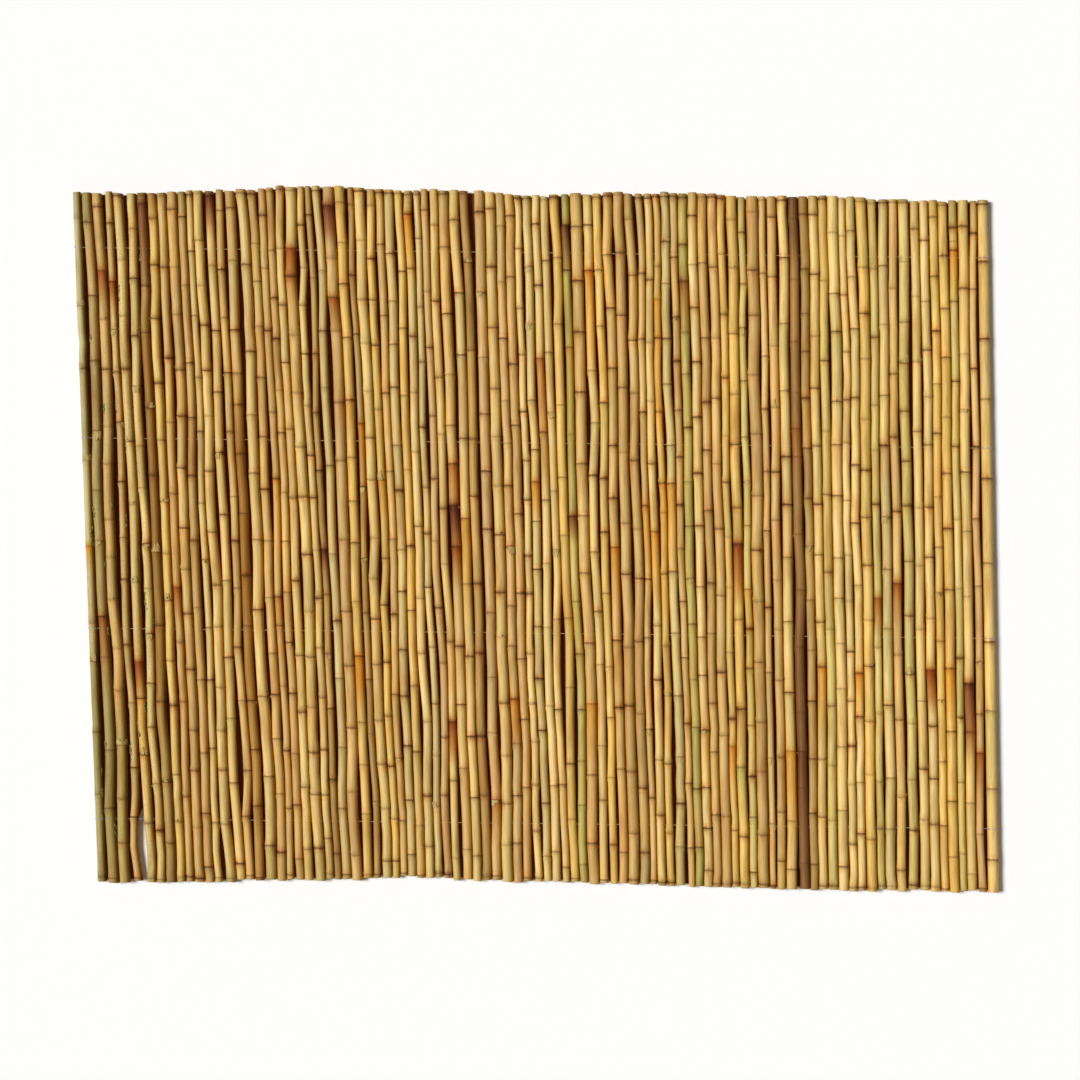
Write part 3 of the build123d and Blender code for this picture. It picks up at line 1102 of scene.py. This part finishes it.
studio = {
    "paper": ("#F6F6F5", "#F9F9F8"),
    "paperGrain": 2.5 * mm,
    "floorSize": 30.0,
    # The paper is dark where the canes cover it: a sheet of painted shade that darkens the gaps between the
    # canes
    "ground": ("#94481E", "#552C16"),
    "groundGrain": 11.11 * mm,
    "groundHeight": 0.2 * mm,
    "groundInset": 4 * mm,
    "slitCane": 4,  # right of it the screen is open at the foot, and the pale floor shows
    "slitTop": -735 * mm,
    "slitTaper": 50 * mm,
    "keyDirection": (-0.61, 0.09, 0.79),
    "keySoftness": 20.0,  # degrees across, as a wide panel far to the left
    "keyLight": 0.90,  # what it gives the floor, and the fill the rest
    "fillLight": 0.15,
    "keyDistance": 5.0,
}


def paper(name, colours, grainSize, detail):
    material, tree = newMaterial(name)
    space = addNode(tree, "TexCoord").outputs["Object"]
    grain = addNode(tree, "TexNoise", {"Vector": space, "Scale": 1 / grainSize, "Detail": detail})
    colour = addNode(tree, "Mix", {0: grain, 6: colours[0], 7: colours[1]}, **covering)
    shader = addNode(tree, "BsdfPrincipled", {"Base Color": colour, "Roughness": 0.95})
    addNode(tree, "OutputMaterial", {"Surface": shader})
    return material


def makeFloor():
    pale = paper("mattStudioPaper", studio["paper"], studio["paperGrain"], 2.0)
    dark = paper("dampEarthPaper", studio["ground"], studio["groundGrain"], 4.0)
    half = studio["floorSize"] / 2
    corners = [(-half, -half, 0), (half, -half, 0), (half, half, 0), (-half, half, 0)]
    # The painted shade sheet runs a little inside the ends of the canes, with a notch where the foot is
    # open
    low = studio["groundHeight"]
    for end, inwards, row in ((0, 1, canes), (-1, -1, canes[::-1])):
        for cane in row:
            along = cane["y"][end] + inwards * studio["groundInset"]
            corners.append((caneLine(cane, along)[0], along, low))
            if end == 0 and cane["number"] == studio["slitCane"]:
                top = studio["slitTop"]
                below = top - studio["slitTaper"]
                left, right = (caneLine(beside, top)[0] for beside in (cane, canes[cane["number"]]))
                corners += [(left, below, low), ((left + right) / 2, top, low), (right, below, low)]
    faces = [(0, 1, 2, 3), tuple(range(4, len(corners)))]
    floor = meshPiece("studio_floor", corners, faces, [pale, dark], [0, 1])
    floor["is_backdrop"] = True


def makeLights():
    direction = Vector(studio["keyDirection"]).normalized()
    lamp = bpy.data.lights.new("key_light", "SUN")
    lamp.angle = math.radians(studio["keySoftness"])
    lamp.energy = studio["keyLight"] * math.pi / direction.z
    key = bpy.data.objects.new("key_light", lamp)
    key.location = direction * studio["keyDistance"]
    key.rotation_euler = direction.to_track_quat("Z", "Y").to_euler()
    scene.collection.objects.link(key)

    world = bpy.data.worlds.new("studio_room")
    scene.world = world
    world.use_nodes = True
    tree = world.node_tree
    tree.nodes.clear()
    path = addNode(tree, "LightPath")
    camera, glossy = path.outputs["Is Camera Ray"], path.outputs["Is Glossy Ray"]
    seen = addNode(tree, "Math", (camera, glossy), operation="MAXIMUM")
    room = addNode(tree, "Background", ((1.0, 0.99, 0.97, 1.0), studio["fillLight"]))
    backdrop = addNode(tree, "Background", ((1.0, 1.0, 1.0, 1.0), 1.0))
    both = addNode(tree, "MixShader", (seen, room, backdrop))
    addNode(tree, "OutputWorld", {"Surface": both})


# Looks straight down on the flat screen, which lies a touch askew in the picture
pictureView = {
    "width": 2.880,  # of the picture, at the canes' crests
    "lens": 85.0,
    "sensor": 36.0,
    "aim": (10.8 * mm, -5.2 * mm, 26 * mm),
    "askew": 0.0115,
}


def makeCamera():
    data = bpy.data.cameras.new("camera")
    data.lens = pictureView["lens"]
    data.sensor_width = pictureView["sensor"]
    data.dof.use_dof = False
    camera = bpy.data.objects.new("camera", data)
    distance = pictureView["width"] * data.lens / data.sensor_width
    camera.location = Vector(pictureView["aim"]) + Vector((0, 0, distance))
    camera.rotation_euler = (0, 0, pictureView["askew"])
    scene.collection.objects.link(camera)
    scene.camera = camera


makeFloor()
makeLights()
makeCamera()
scene.view_settings.view_transform = "Standard"
print("made the floor, the lights and the camera")

bpy.context.view_layer.update()
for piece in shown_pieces():
    piece.data.calc_loop_triangles()
